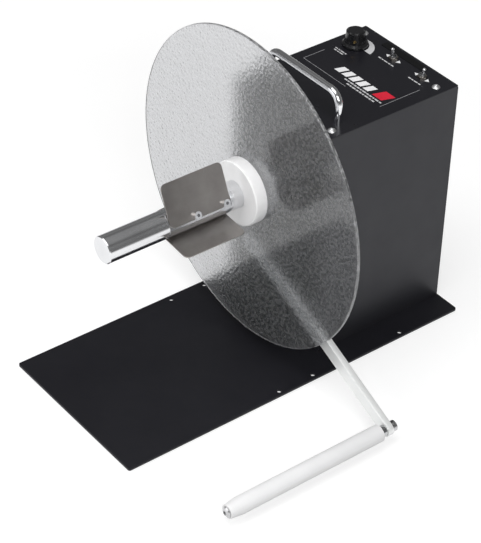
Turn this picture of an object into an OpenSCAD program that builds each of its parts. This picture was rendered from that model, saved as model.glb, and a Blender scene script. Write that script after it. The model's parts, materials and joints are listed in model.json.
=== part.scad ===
// Bench label unwinder: a driven roll spindle with a clear flange disc, a sprung dancer arm with a
// paper roller, and a sheet-metal housing with its speed controls on top.
// Units are millimetres. The origin is the centre of the base plate's underside, Z is up,
// and the spindle points toward -Y.

/* [Base plate] */
// Width of the base plate
base_w = 172; // [160:1:240]
// Length of the base plate
base_l = 374; // [340:1:440]
// Thickness of the base plate
base_t = 2.5; // [2:0.5:5]
// Corner radius of the base plate
base_r = 2; // [1:0.5:20]
// Diameter of the bench screw holes
bench_hole_d = 4.5; // [3:0.1:6]
// Distance of the bench holes from the long edges
bench_inset = 5; // [4:0.5:12]
// Front row of bench holes
bench_row_front = -21; // [-120:0.5:-18]
// Middle row of bench holes
bench_row_mid = 17.5; // [0:0.5:60]
// Rear row of bench holes
bench_row_rear = 120.5; // [90:0.5:170]

/* [Housing] */
// Sideways position of the housing and the spindle
housing_x = -4; // [-10:0.5:10]
// Width of the housing
housing_w = 125; // [122:1:150]
// Height of the top panel above the floor
housing_top = 233.5; // [228:0.5:260]
// Depth of the housing from its front wall to its rear panel
housing_depth = 145; // [143:1:170]
// Thickness of the sheet metal
wall_t = 2; // [1.5:0.25:3]
// Diameter of the panel screw heads
panel_head_d = 7.6; // [6:0.2:9]

/* [Spindle] */
// Height of the spindle axis above the floor
spindle_z = 162.5; // [160:0.5:170]
// Front face of the flange disc
disc_y = 2; // [0:0.5:3]
// Diameter of the flange disc
disc_d = 300; // [240:2:312]
// Thickness of the flange disc
disc_t = 3; // [2:0.5:4]
// Diameter of the spindle
shaft_d = 25.4; // [24:0.1:26]
// Reach of the spindle in front of the flange disc
shaft_reach = 151.5; // [120:0.5:170]
// Chamfer on the spindle nose
shaft_chamfer = 0.8; // [0.4:0.1:2]
// Diameter of the front hub
hub_d = 61; // [54:1:80]
// Thickness of the front hub
hub_len = 11.6; // [9:0.2:14]
// Diameter of the rear hub
rear_hub_d = 56; // [50:1:64]
// Thickness of the rear hub
rear_hub_len = 12; // [10:0.5:14]
// Diameter of the bearing journal
journal_d = 17; // [16:0.5:18]

/* [Core leaves] */
// Thickness of a core leaf
leaf_t = 1; // [0.6:0.1:1.2]
// Length of a core leaf along the spindle
leaf_w = 64; // [50:1:80]
// Reach of a core leaf past its screws
leaf_reach = 36; // [30:0.5:40]
// Corner radius of a core leaf
leaf_r = 5; // [2:0.5:8]
// Distance of the leaf's rear edge from the front hub
leaf_gap = 14; // [12:0.5:18]
// Turn of the first leaf above the horizontal
leaf_angle = 25; // [0:1:60]

/* [Dancer arm] */
// Distance of the arm pivot below the spindle
pivot_drop = 62; // [60:0.5:66]
// Length of the arm between its pivot and the roller
arm_len = 207.7; // [190:0.5:240]
// Angle of the resting arm below the horizontal
arm_drop = 24.76; // [20:0.1:25]
// Width of the arm bar
arm_w = 12.5; // [10:0.5:16]
// Thickness of the arm bar
arm_t = 6; // [5:0.5:7]
// Front face of the arm
arm_y = 11.5; // [10:0.5:12]
// Travel of the arm between its stops
arm_travel = 60; // [40:1:62]
// Diameter of the roller
roller_d = 16; // [14:0.5:20]
// Length of the roller
roller_len = 164; // [140:1:181]
// Diameter of the roller axle
axle_d = 8; // [6:0.5:9]

/* [Carry handle] */
// Distance between the handle feet
handle_span = 93; // [80:1:98]
// Diameter of the handle bar
handle_d = 7.5; // [6:0.5:9]
// Height of the handle bar above the top panel
handle_h = 26.5; // [18:0.5:40]
// Bend radius of the handle
handle_bend = 12; // [8:0.5:14]
// Sideways position of the right handle foot
handle_right = 41; // [34:1:44]
// Position of the handle behind the front wall
handle_back = 22; // [18:0.5:40]

/* [Controls] */
// Sideways position of the torque knob
knob_x = -46.5; // [-48:0.5:-44]
// Position of the torque knob in front of the rear edge
knob_fwd = 30; // [26:0.5:32]
// Diameter of the knob skirt
knob_d = 24; // [20:0.5:26]
// Height of the knob
knob_h = 15; // [12:0.5:20]
// Sideways position of the direction switch
direction_x = -8.3; // [-14:0.1:-4]
// Sideways position of the torque switch
torque_x = 29.8; // [24:0.1:34]
// Position of both switches in front of the rear edge
switch_fwd = 17.5; // [17:0.5:20]
// Length of a switch lever
lever_len = 9.5; // [7:0.5:14]
// Lean of a thrown lever
lever_lean = 12; // [8:1:14]

/* [Drive] */
// Module of the gear pair
gear_module = 1.5; // [1.5:0.25:1.5]
// Teeth of the spindle gear
gear_teeth = 48; // [48:1:48]
// Teeth of the motor pinion
pinion_teeth = 16; // [16:1:16]
// Sideways and downward offset of the motor from the spindle
motor_offset = 34; // [34:0.05:34.1]
// Diameter of the motor gearbox
motor_d = 42; // [36:1:44]
// Angle that thins each tooth for backlash
backlash_deg = 0.22; // [0.1:0.02:0.4]

/* [Hidden] */
$fn = 48;
eps = 0.02;
slip = 0.05;
loose = 0.15;
gap = 0.3;
base_x = base_w / 2;
rear_y = base_l / 2;
front_y = rear_y - housing_depth;
left_x = housing_x - housing_w / 2;
right_x = housing_x + housing_w / 2;
inner_l = left_x + wall_t;
inner_r = right_x - wall_t;
inner_f = front_y + wall_t;
panel_y = rear_y - wall_t;
panel_z = housing_top - wall_t;
bench_x = base_x - bench_inset;
bench_rows = [bench_row_front, bench_row_mid, bench_row_rear];
sx = housing_x;
shaft_r = shaft_d / 2;
nose_y = disc_y - shaft_reach;
disc_back = disc_y + disc_t;
hub_y = disc_y - hub_len;
rear_hub_y = disc_back + rear_hub_len;
flat_n = shaft_r - 1.2;
leaf_rear = hub_y - leaf_gap;
leaf_front = leaf_rear - leaf_w;
leaf_screw_rows = [leaf_rear - 6, leaf_rear - 36.7];
leaf_low = 3.5;
m4_r = 2;
shoulder_y = front_y - 8;
race_w = 12;
race_r = 20;
race_in_r = journal_d / 2;
bearing_front = inner_f;
block_back = inner_f + 44;
bearing_rear = block_back - race_w;
block_half = 28;
ball_r = 2.3;
ball_pitch = (race_r + race_in_r) / 2;
race_gap = 2.6;
ring_y = block_back + 0.4;
gear_y = block_back + 3;
gear_w = 10;
journal_end = gear_y + gear_w + 2;
pivot_x = sx;
pivot_z = spindle_z - pivot_drop;
arm_back = arm_y + arm_t;
arm_dir = [cos(arm_drop), -sin(arm_drop)];
roller_x = pivot_x + arm_len * arm_dir[0];
roller_z = pivot_z + arm_len * arm_dir[1];
pivot_r = 5;
bush_r = 7;
pivot_block_back = inner_f + 20;
collar_y = pivot_block_back + 12;
collar_w = 10;
tail_r = 3;
tail_end = collar_y + collar_w + 14;
sensor_y = collar_y + collar_w + 8;
stop_r = 4;
stop_along = 44;
stop_half = asin((arm_w / 2 + stop_r + gap) / stop_along);
stop_angles = [-arm_drop - stop_half, arm_travel - arm_drop + stop_half];
collar_back = arm_y - 4.5;
roller_back = collar_back - 1.5;
roller_front = roller_back - roller_len;
axle_r = axle_d / 2;
handle_r = handle_d / 2;
handle_y = front_y + handle_back;
foot_gap = 8;
handle_left = max(handle_right - handle_span, inner_l + foot_gap);
right_foot = handle_left + handle_span;
handle_mid_z = housing_top + handle_h;
knob_y = rear_y - knob_fwd;
switch_y = rear_y - switch_fwd;
lever_z = housing_top - 0.5;
screw_dx = housing_w / 2 - 9.5;
screw_fy = front_y + 8.5;
screw_ry = rear_y - 18;
lid_screws = [
    [sx - screw_dx, screw_fy],
    [sx + screw_dx, screw_fy],
    [sx - screw_dx, rear_y - 10],
    [sx + screw_dx, screw_ry]
];
plate_half = motor_d / 2 + 3;
plate_gap = 2;
gear_reach = norm([motor_offset, motor_offset]);
motor_x = min(sx + motor_offset, inner_r - plate_half - plate_gap);
motor_z = spindle_z - sqrt(pow(gear_reach, 2) - pow(motor_x - sx, 2));
mesh_angle = atan2(motor_z - spindle_z, motor_x - sx);
motor_plate_y = gear_y + gear_w + 5;
motor_front = motor_plate_y + 4;
motor_shaft_r = 3;
motor_bolt = 15.5;
board_x = inner_l + 6;
board_y0 = rear_y - 87;
board_y1 = rear_y - 9;
board_z0 = 40;
board_z1 = 118;
jack_x = sx + 34;
jack_z = 30;
foot_ys = [front_y + 14, panel_y - 14];

// Rounded rectangle about the origin.
module rrect(w, h, r) {
    square([w - 2 * r, h], center = true);
    square([w, h - 2 * r], center = true);
    for (i = [-1, 1])
        for (j = [-1, 1])
            translate([i * (w / 2 - r), j * (h / 2 - r)])
                circle(r = r);
}

// Flat shape drawn in X and Z, standing from y0 to y1.
module yplate(y0, y1) {
    translate([0, y1, 0])
        rotate([90, 0, 0])
            linear_extrude(height = y1 - y0)
                children();
}

// Round bar along Y.
module ybar(x, z, y0, y1, r) {
    translate([x, y0, z])
        rotate([-90, 0, 0])
            cylinder(r = r, h = y1 - y0);
}

// Round bar along Y with two end radii.
module ycone(x, z, y0, y1, ra, rb) {
    translate([x, y0, z])
        rotate([-90, 0, 0])
            cylinder(r1 = ra, r2 = rb, h = y1 - y0);
}

// Ring along Y.
module yring(x, z, y0, y1, ro, ri) {
    difference() {
        ybar(x, z, y0, y1, ro);
        ybar(x, z, y0 - 1, y1 + 1, ri);
    }
}

// Round bar along Z.
module zbar(x, y, z0, z1, r) {
    translate([x, y, z0])
        cylinder(r = r, h = z1 - z0);
}

// Button-head screw pointing down -Z from its seat at the origin.
module button_screw(head_d, head_h, r, len) {
    sr = (head_d * head_d / 4 + head_h * head_h) / (2 * head_h);
    difference() {
        intersection() {
            translate([0, 0, head_h - sr])
                sphere(r = sr);
            cylinder(d = head_d, h = head_h + 1);
        }
        translate([0, 0, head_h * 0.4])
            cylinder(r = head_d * 0.2, h = head_h, $fn = 6);
    }
    translate([0, 0, -len])
        cylinder(r = r, h = len + eps);
}

// Socket-head screw pointing down -Z from its seat at the origin.
module cap_screw(head_d, head_h, r, len) {
    difference() {
        cylinder(d = head_d, h = head_h);
        translate([0, 0, head_h * 0.4])
            cylinder(r = head_d * 0.24, h = head_h, $fn = 6);
    }
    translate([0, 0, -len])
        cylinder(r = r, h = len + eps);
}

// Places children with their Z axis toward -Y at a point.
module facing_front(x, y, z) {
    translate([x, y, z])
        rotate([90, 0, 0])
            children();
}

// Places children with their Z axis toward +Y at a point.
module facing_rear(x, y, z) {
    translate([x, y, z])
        rotate([-90, 0, 0])
            children();
}

// Places children at one leaf: -X along the leaf, Y along the spindle, Z out of its face.
module at_leaf(i) {
    translate([sx, 0, spindle_z])
        rotate([0, 90 - leaf_angle - 120 * i, 0])
            children();
}

// Places children along the resting arm, with X toward the roller.
module at_arm() {
    translate([pivot_x, 0, pivot_z])
        rotate([0, arm_drop, 0])
            children();
}

function involute(rb, t) = [
    rb * (cos(t) + t * PI / 180 * sin(t)),
    rb * (sin(t) - t * PI / 180 * cos(t))
];
function turn(p, a) = [p[0] * cos(a) - p[1] * sin(a), p[0] * sin(a) + p[1] * cos(a)];
function roll_to(rb, r) = sqrt(r * r / (rb * rb) - 1) * 180 / PI;
function flank(rb, rf, ra, half, n) = [
    for (k = [0 : n])
        let (t0 = rf > rb ? roll_to(rb, rf) : 0)
        let (t = t0 + (roll_to(rb, ra) - t0) * k / n)
        turn(involute(rb, t), -half)
];
function flipped(pts) = [for (k = [len(pts) - 1 : -1 : 0]) [pts[k][0], -pts[k][1]]];
function tooth(rb, rf, ra, half, n) = concat(
    rf < rb ? [turn([rf, 0], -half)] : [],
    flank(rb, rf, ra, half, n),
    flipped(flank(rb, rf, ra, half, n)),
    rf < rb ? [turn([rf, 0], half)] : []
);

// Involute gear outline with a tooth on the X axis.
module gear_2d(m, teeth) {
    rp = m * teeth / 2;
    rb = rp * cos(20);
    half = 90 / teeth + tan(20) * 180 / PI - 20 - backlash_deg;
    one = tooth(rb, rp - 1.25 * m, rp + m, half, 5);
    polygon([for (i = [0 : teeth - 1]) for (p = one) turn(p, i * 360 / teeth)]);
}

// Pressed base with bench holes and seats for the screws that hold the housing.
module base_plate() {
    color("#232326")
        difference() {
            linear_extrude(height = base_t)
                difference() {
                    rrect(base_w, base_l, base_r);
                    for (y = bench_rows)
                        for (s = [-1, 1])
                            translate([s * bench_x, y])
                                circle(d = bench_hole_d);
                }
            for (y = foot_ys)
                for (x = [inner_l + 7, inner_r - 7])
                    foot_seat(x, y);
            for (x = [motor_x - 12, motor_x + 12])
                foot_seat(x, motor_front + 20);
        }
}

module foot_seat(x, y) {
    zbar(x, y, -1, base_t + 1, 1.5 + loose);
    zbar(x, y, -1, 1.4, 3 + loose);
}

// Low-head screws driven up through the base.
module base_screws() {
    color("#8d8f92") {
        for (y = foot_ys)
            for (x = [inner_l + 7, inner_r - 7])
                foot_screw(x, y);
        for (x = [motor_x - 12, motor_x + 12])
            foot_screw(x, motor_front + 20);
    }
}

module foot_screw(x, y) {
    difference() {
        zbar(x, y, 0.1, 1.4, 3);
        translate([x, y, -1])
            cylinder(r = 1.2, h = 1.8, $fn = 6);
    }
    zbar(x, y, 1.4 - eps, base_t + 5, 1.5);
}

// Left, front and right walls bent from one sheet, with screw tabs.
module housing_wrap() {
    color("#2b2b2e")
        difference() {
            union() {
                translate([left_x, front_y, base_t])
                    linear_extrude(height = panel_z - base_t)
                        difference() {
                            square([housing_w, panel_y - front_y]);
                            translate([wall_t, wall_t])
                                square([housing_w - 2 * wall_t, housing_depth]);
                        }
                for (y = foot_ys)
                    for (x = [inner_l - eps, inner_r - 14 + eps])
                        translate([x, y - 6, base_t])
                            cube([14, 12, wall_t]);
                for (p = lid_screws)
                    translate([p[0] < sx ? inner_l - eps : inner_r - 11 + eps, p[1] - 5, panel_z - wall_t])
                        cube([11, 10, wall_t]);
                for (z = [base_t + 30, panel_z - 30])
                    for (x = [inner_l - eps, inner_r - 11 + eps])
                        translate([x, panel_y - wall_t, z - 6])
                            cube([11, wall_t, 12]);
            }
            for (y = foot_ys)
                for (x = [inner_l + 7, inner_r - 7])
                    zbar(x, y, base_t - 1, base_t + wall_t + 1, 1.5 + slip);
            for (p = lid_screws)
                zbar(p[0], p[1], panel_z - wall_t - 1, panel_z + 1, 2 + slip);
            for (z = [base_t + 30, panel_z - 30])
                for (s = [-1, 1])
                    ybar(sx + s * screw_dx, z, panel_y - wall_t - 1, panel_y + 1, 1.5 + slip);
            ybar(sx, spindle_z, front_y - 1, inner_f + 1, 12.5);
            ybar(pivot_x, pivot_z, front_y - 1, inner_f + 1, 9);
            for (i = [-1, 1])
                for (j = [-1, 1])
                    ybar(sx + i * 21, spindle_z + j * 21, front_y - 1, inner_f + 1, 2.5 + slip);
            for (i = [-1, 1])
                ybar(pivot_x + i * 15, pivot_z, front_y - 1, inner_f + 1, 2 + slip);
            for (a = stop_angles)
                ybar(stop_x(a), stop_z(a), front_y - 1, inner_f + 1, 2.5 + slip);
            for (y = [board_y0 + 6, board_y1 - 6])
                for (z = [board_z0 + 6, board_z1 - 6])
                    translate([left_x - 1, y, z])
                        rotate([0, 90, 0])
                            cylinder(r = 1.5 + slip, h = wall_t + 2);
        }
}

// Rear cover with cooling slots and the inlet hole.
module rear_panel() {
    color("#2b2b2e")
        yplate(panel_y, rear_y)
            difference() {
                translate([left_x, base_t])
                    square([housing_w, panel_z - base_t]);
                for (z = [base_t + 30, panel_z - 30])
                    for (s = [-1, 1])
                        translate([sx + s * screw_dx, z])
                            circle(r = 1.5 + loose);
                for (i = [0 : 7])
                    translate([sx, 128 + i * 9])
                        rrect(60, 4, 1.9);
                translate([jack_x, jack_z])
                    circle(r = 4 + slip);
            }
}

module rear_panel_screws() {
    color("#b9bbbe")
        for (z = [base_t + 30, panel_z - 30])
            for (s = [-1, 1])
                facing_rear(sx + s * screw_dx, rear_y, z)
                    button_screw(5.7, 1.6, 1.5, wall_t + 5);
}

// Flat lid that carries the handle and the controls.
module top_panel() {
    color("#26262a")
        difference() {
            translate([sx, (front_y + rear_y) / 2, panel_z])
                linear_extrude(height = wall_t)
                    rrect(housing_w, housing_depth, 1);
            for (p = lid_screws)
                zbar(p[0], p[1], panel_z - 1, housing_top + 1, 2 + loose);
            for (x = [handle_left, right_foot])
                zbar(x, handle_y, panel_z - 1, housing_top + 1, 2 + loose);
            zbar(knob_x, knob_y, panel_z - 1, housing_top + 1, 3.5 + slip);
            for (x = [direction_x, torque_x])
                zbar(x, switch_y, panel_z - 1, housing_top + 1, 3 + slip);
        }
}

module top_panel_screws() {
    color("#d8dadc")
        for (p = lid_screws)
            translate([p[0], p[1], housing_top])
                button_screw(panel_head_d, 2.2, 2, wall_t + 6);
}

// Blank plate near the rear edge of the lid.
module blank_plate() {
    color("#121214")
        translate([sx - 1, rear_y - 7, housing_top])
            linear_extrude(height = 0.4)
                rrect(56, 7.6, 1);
}

// Bent round bar with two straight feet.
module carry_handle() {
    straight_r = handle_r - 0.02;
    color("#d8dadc")
        difference() {
            union() {
                handle_corner(handle_left + handle_bend, 180);
                handle_corner(right_foot - handle_bend, 0);
                for (x = [handle_left, right_foot])
                    zbar(x, handle_y, housing_top, handle_mid_z - handle_bend + 0.4, straight_r);
                translate([handle_left + handle_bend - 0.4, handle_y, handle_mid_z])
                    rotate([0, 90, 0])
                        cylinder(r = straight_r, h = handle_span - 2 * handle_bend + 0.8);
            }
            for (x = [handle_left, right_foot])
                zbar(x, handle_y, housing_top - 1, housing_top + 5, 2 + slip);
        }
}

module handle_corner(x, a) {
    translate([x, handle_y, handle_mid_z - handle_bend])
        rotate([90, 0, a == 0 ? 0 : 180])
            rotate_extrude(angle = 90)
                translate([handle_bend, 0])
                    circle(r = handle_r);
}

module handle_screws() {
    color("#b9bbbe")
        for (x = [handle_left, right_foot])
            translate([x, handle_y, panel_z])
                rotate([180, 0, 0])
                    button_screw(7, 2, 2, wall_t + 4.5);
}

// Machined block that carries both spindle bearings.
module bearing_block() {
    color("#a9acb0")
        difference() {
            yplate(inner_f, block_back)
                translate([sx, spindle_z])
                    rrect(2 * block_half, 2 * block_half, 3);
            ybar(sx, spindle_z, inner_f - 1, inner_f + race_w, race_r);
            ybar(sx, spindle_z, bearing_rear, block_back + 1, race_r);
            ybar(sx, spindle_z, inner_f, block_back, race_r - 2);
            for (i = [-1, 1])
                for (j = [-1, 1])
                    ybar(sx + i * 21, spindle_z + j * 21, inner_f - 1, inner_f + 16, 2.5 + slip);
        }
}

// Screws through the front wall into both blocks.
module wall_screws() {
    color("#b9bbbe") {
        for (i = [-1, 1])
            for (j = [-1, 1])
                facing_front(sx + i * 21, front_y, spindle_z + j * 21)
                    button_screw(9, 2.6, 2.5, wall_t + 15);
        for (i = [-1, 1])
            facing_front(pivot_x + i * 15, front_y, pivot_z)
                button_screw(7, 2.2, 2, wall_t + 13);
    }
}

module bearing_outer_races() {
    color("#c3c6c9")
        for (y = [bearing_front, bearing_rear])
            yring(sx, spindle_z, y, y + race_w, race_r, ball_pitch + race_gap);
}

module bearing_balls() {
    color("#d8dadc")
        for (y = [bearing_front, bearing_rear])
            for (i = [0 : 8])
                translate([sx + ball_pitch * cos(i * 40), y + race_w / 2, spindle_z + ball_pitch * sin(i * 40)])
                    sphere(r = ball_r);
}

// Small block behind the front wall for the arm pivot.
module pivot_block() {
    color("#a9acb0")
        difference() {
            yplate(inner_f, pivot_block_back)
                translate([pivot_x, pivot_z])
                    rrect(44, 30, 3);
            ybar(pivot_x, pivot_z, inner_f - 1, pivot_block_back + 1, bush_r);
            for (i = [-1, 1])
                ybar(pivot_x + i * 15, pivot_z, inner_f - 1, inner_f + 14, 2 + slip);
        }
}

module pivot_bush() {
    color("#b08d57")
        yring(pivot_x, pivot_z, inner_f, pivot_block_back, bush_r, pivot_r + slip);
}

// Coiled torsion spring that pulls the arm back down.
module return_spring() {
    wire = 0.8;
    mean = 8;
    turns = 4;
    pitch = 2;
    steps = 20;
    sides = 8;
    n = turns * steps;
    echo(least_gap_between_coils = pitch - 2 * wire);
    ring = [for (k = [0 : n]) for (j = [0 : sides - 1])
        let (a = k * 360 / steps, b = j * 360 / sides, r = mean + wire * cos(b))
        [pivot_x + r * cos(a), pivot_block_back + wire + pitch * k / steps + wire * sin(b), pivot_z + r * sin(a)]];
    body = [for (k = [0 : n - 1]) for (j = [0 : sides - 1])
        [k * sides + j, k * sides + (j + 1) % sides, (k + 1) * sides + (j + 1) % sides, (k + 1) * sides + j]];
    head = [[for (j = [sides - 1 : -1 : 0]) j]];
    tail = [[for (j = [0 : sides - 1]) n * sides + j]];
    color("#9a9da0")
        polyhedron(points = ring, faces = concat(body, head, tail));
}

function stop_x(a) = pivot_x + stop_along * cos(a);
function stop_z(a) = pivot_z + stop_along * sin(a);

// Rubber-sleeved pins that end the arm's travel.
module arm_stops() {
    color("#1c1c1e")
        for (a = stop_angles) {
            ybar(stop_x(a), stop_z(a), arm_y + 1, front_y, stop_r);
            ybar(stop_x(a), stop_z(a), front_y - eps, inner_f + 5, 2.5);
        }
}

// Angle bracket that stands on the base and carries the gear motor.
module motor_plate() {
    color("#8d8f92")
        difference() {
            union() {
                translate([motor_x - plate_half, motor_plate_y, base_t])
                    cube([2 * plate_half, 4, motor_z + plate_half - base_t]);
                translate([motor_x - plate_half, motor_front - eps, base_t])
                    cube([2 * plate_half, 34, 4]);
            }
            ybar(motor_x, motor_z, motor_plate_y - 1, motor_front + 1, 7.2);
            for (i = [-1, 1])
                for (j = [-1, 1])
                    ybar(motor_x + i * motor_bolt * 0.7071, motor_z + j * motor_bolt * 0.7071,
                        motor_plate_y - 1, motor_front + 1, 1.5 + loose);
            for (x = [motor_x - 12, motor_x + 12])
                zbar(x, motor_front + 20, base_t - 1, base_t + 5, 1.5 + slip);
        }
}

module motor_screws() {
    color("#b9bbbe")
        for (i = [-1, 1])
            for (j = [-1, 1])
                facing_front(motor_x + i * motor_bolt * 0.7071, motor_plate_y, motor_z + j * motor_bolt * 0.7071)
                    cap_screw(5.5, 3, 1.5, 4 + 6);
}

// Gearbox with the motor can behind it.
module gear_motor() {
    color("#77797c")
        difference() {
            union() {
                ybar(motor_x, motor_z, motor_front, motor_front + 24, motor_d / 2);
                ybar(motor_x, motor_z, motor_plate_y + 0.5, motor_front + eps, 7);
                ybar(motor_x, motor_z, motor_front + 24 - eps, motor_front + 64, motor_d / 2 - 2);
                ybar(motor_x, motor_z, motor_front + 64 - eps, motor_front + 67, 8);
            }
            ybar(motor_x, motor_z, motor_plate_y - 1, motor_front + 14, motor_shaft_r + slip);
            for (i = [-1, 1])
                for (j = [-1, 1])
                    ybar(motor_x + i * motor_bolt * 0.7071, motor_z + j * motor_bolt * 0.7071,
                        motor_front - 1, motor_front + 7, 1.5 + slip);
        }
}

module motor_shaft() {
    color("#c3c6c9")
        ybar(motor_x, motor_z, gear_y - 1, motor_front + 13, motor_shaft_r);
}

module motor_pinion() {
    color("#b08d57")
        difference() {
            union() {
                yplate(gear_y, gear_y + gear_w)
                    translate([motor_x, motor_z])
                        rotate(180 + 180 / pinion_teeth + mesh_angle * (1 + gear_teeth / pinion_teeth))
                            gear_2d(gear_module, pinion_teeth);
            }
            ybar(motor_x, motor_z, gear_y - 1, gear_y + gear_w + 1, motor_shaft_r);
        }
}

// Circuit board on the left wall.
module control_board() {
    color("#1f4a33")
        difference() {
            translate([board_x, board_y0, board_z0])
                cube([1.6, board_y1 - board_y0, board_z1 - board_z0]);
            for (y = [board_y0 + 6, board_y1 - 6])
                for (z = [board_z0 + 6, board_z1 - 6])
                    translate([board_x - 1, y, z])
                        rotate([0, 90, 0])
                            cylinder(r = 1.5 + loose, h = 4);
        }
}

module board_components() {
    bx = board_x + 1.6;
    color("#3a3a3d") {
        translate([bx, board_y0 + 12, board_z0 + 14])
            cube([9, 16, 30]);
        translate([bx, board_y0 + 36, board_z0 + 40])
            cube([2, 14, 14]);
        translate([bx, board_y0 + 60, board_z0 + 12])
            cube([8, 8, 40]);
        for (z = [board_z0 + 20, board_z0 + 34])
            translate([bx, board_y0 + 46, z])
                rotate([0, 90, 0])
                    cylinder(r = 5, h = 13);
    }
}

module board_standoffs() {
    color("#c3c6c9")
        for (y = [board_y0 + 6, board_y1 - 6])
            for (z = [board_z0 + 6, board_z1 - 6])
                translate([0, y, z])
                    rotate([0, 90, 0]) {
                        translate([0, 0, inner_l])
                            cylinder(r = 3, h = board_x - inner_l, $fn = 6);
                        translate([0, 0, left_x + 0.2])
                            cylinder(r = 1.5, h = board_x - left_x + 4);
                        translate([0, 0, board_x + 1.6])
                            cylinder(r = 2.7, h = 2);
                    }
}

// Round supply inlet with its centre pin.
module power_inlet() {
    color("#1c1c1e") {
        difference() {
            union() {
                ybar(jack_x, jack_z, panel_y - 12, rear_y + eps, 4);
                ybar(jack_x, jack_z, rear_y, rear_y + 1.4, 5.5);
                ybar(jack_x, jack_z, panel_y - 2, panel_y, 5.5);
            }
            ybar(jack_x, jack_z, panel_y - 8, rear_y + 3, 2.8);
        }
        ybar(jack_x, jack_z, panel_y - 9, rear_y, 1);
    }
}

// Body, threaded neck and nut of the torque control.
module potentiometer() {
    color("#77797c")
        difference() {
            union() {
                zbar(knob_x, knob_y, panel_z - 10, panel_z, 8);
                zbar(knob_x, knob_y, panel_z - eps, housing_top + 3, 3.5);
                translate([knob_x, knob_y, housing_top])
                    cylinder(r = 5.5, h = 2, $fn = 6);
            }
            zbar(knob_x, knob_y, panel_z - 6, housing_top + 4, 3 + slip);
        }
}

module potentiometer_shaft() {
    color("#c3c6c9")
        zbar(knob_x, knob_y, panel_z - 5, housing_top + 11, 3);
}

// Skirted knob with a fluted grip.
module torque_knob() {
    bottom = housing_top + 0.5;
    grip = knob_d * 0.4;
    color("#101012")
        difference() {
            union() {
                zbar(knob_x, knob_y, bottom, bottom + 2, knob_d / 2);
                translate([knob_x, knob_y, bottom + 2 - eps])
                    cylinder(r1 = knob_d / 2, r2 = grip + 0.6, h = 2);
                difference() {
                    translate([knob_x, knob_y, bottom + 4 - 2 * eps])
                        cylinder(r1 = grip, r2 = grip - 0.9, h = knob_h - 5);
                    for (i = [0 : 17])
                        translate([knob_x, knob_y, bottom + 4.4])
                            rotate([0, 0, i * 20])
                                translate([grip + 0.3, 0, 0])
                                    cylinder(r = 0.8, h = knob_h);
                }
                translate([knob_x, knob_y, bottom + knob_h - 1 - 3 * eps])
                    cylinder(r1 = grip - 1.6, r2 = grip - 2.4, h = 1);
            }
            zbar(knob_x, knob_y, bottom - 1, housing_top + 3.6, 6);
            zbar(knob_x, knob_y, bottom, housing_top + 11.2, 3);
            translate([knob_x, knob_y, housing_top + 8])
                rotate([0, 90, -45])
                    cylinder(r = 1.6, h = knob_d);
        }
}

module knob_set_screw() {
    color("#b08d57")
        translate([knob_x, knob_y, housing_top + 8])
            rotate([0, 90, -45])
                translate([0, 0, 3.1])
                    difference() {
                        cylinder(r = 1.5, h = 5.6);
                        translate([-2, -0.25, 4.8])
                            cube([4, 0.5, 1]);
                    }
}

// Switch body with its threaded neck.
module toggle_body(x) {
    difference() {
        union() {
            translate([x - 6.5, switch_y - 4, panel_z - 12])
                cube([13, 8, 10]);
            zbar(x, switch_y, panel_z - 2 - eps, panel_z, 4.5);
            zbar(x, switch_y, panel_z - eps, housing_top + 3.5, 3);
        }
        zbar(x, switch_y, panel_z - 3, housing_top + 4, 2.4);
    }
    for (s = [-1, 0, 1])
        translate([x + s * 4.5 - 0.5, switch_y - 1, panel_z - 16])
            cube([1, 2, 4 + eps]);
}

module direction_switch() {
    color("#77797c")
        toggle_body(direction_x);
}

module torque_switch() {
    color("#77797c")
        toggle_body(torque_x);
}

module toggle_nuts() {
    color("#d8dadc")
        for (x = [direction_x, torque_x])
            difference() {
                translate([x, switch_y, housing_top])
                    cylinder(r = 4.6, h = 1.8, $fn = 6);
                zbar(x, switch_y, housing_top - 1, housing_top + 3, 3);
            }
}

// Lever of one switch, leaning to one side.
module toggle_lever(x, lean) {
    color("#d8dadc")
        translate([x, switch_y, lever_z])
            rotate([0, lean, 0]) {
                sphere(r = 2.1);
                cylinder(r1 = 1, r2 = 1.2, h = lever_len);
                translate([0, 0, lever_len])
                    sphere(r = 1.6);
                ybar(0, 0, -2.3, 2.3, 0.7);
            }
}

module direction_lever() {
    toggle_lever(direction_x, -lever_lean);
}

module torque_lever() {
    toggle_lever(torque_x, lever_lean);
}

// Upright angle that holds the arm sensor.
module sensor_bracket() {
    color("#8d8f92")
        difference() {
            union() {
                translate([pivot_x - 14, sensor_y - 2, base_t])
                    cube([28, 2, pivot_z + 14 - base_t]);
                translate([pivot_x - 14, sensor_y - 22, base_t])
                    cube([28, 20 + eps, 2]);
            }
            ybar(pivot_x, pivot_z, sensor_y - 3, sensor_y + 1, 4);
        }
}

module arm_sensor() {
    color("#3a3a3d")
        difference() {
            ybar(pivot_x, pivot_z, sensor_y, sensor_y + 8, 11);
            ybar(pivot_x, pivot_z, sensor_y - 1, sensor_y + 7, tail_r + slip);
        }
}

// Polished spindle with three flats and a stepped rear journal.
module mandrel() {
    color("#d8dadc")
        difference() {
            union() {
                ycone(sx, spindle_z, nose_y, nose_y + shaft_chamfer, shaft_r - shaft_chamfer, shaft_r);
                ybar(sx, spindle_z, nose_y + shaft_chamfer - eps, shoulder_y, shaft_r);
                ybar(sx, spindle_z, shoulder_y - eps, journal_end, journal_d / 2);
            }
            for (i = [0 : 2])
                at_leaf(i) {
                    translate([-shaft_r, leaf_front - 0.5, flat_n])
                        cube([2 * shaft_r, leaf_w + 1, shaft_r]);
                    for (y = leaf_screw_rows)
                        translate([0, y, flat_n - 6])
                            cylinder(r = m4_r + slip, h = 10);
                }
            yring(sx, spindle_z, ring_y - 0.05, ring_y + 1.25, journal_d, journal_d / 2 - 0.6);
            yring(sx, spindle_z, leaf_front - 1.5, leaf_front - 0.5, shaft_d, shaft_r - 0.3);
        }
}

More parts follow.
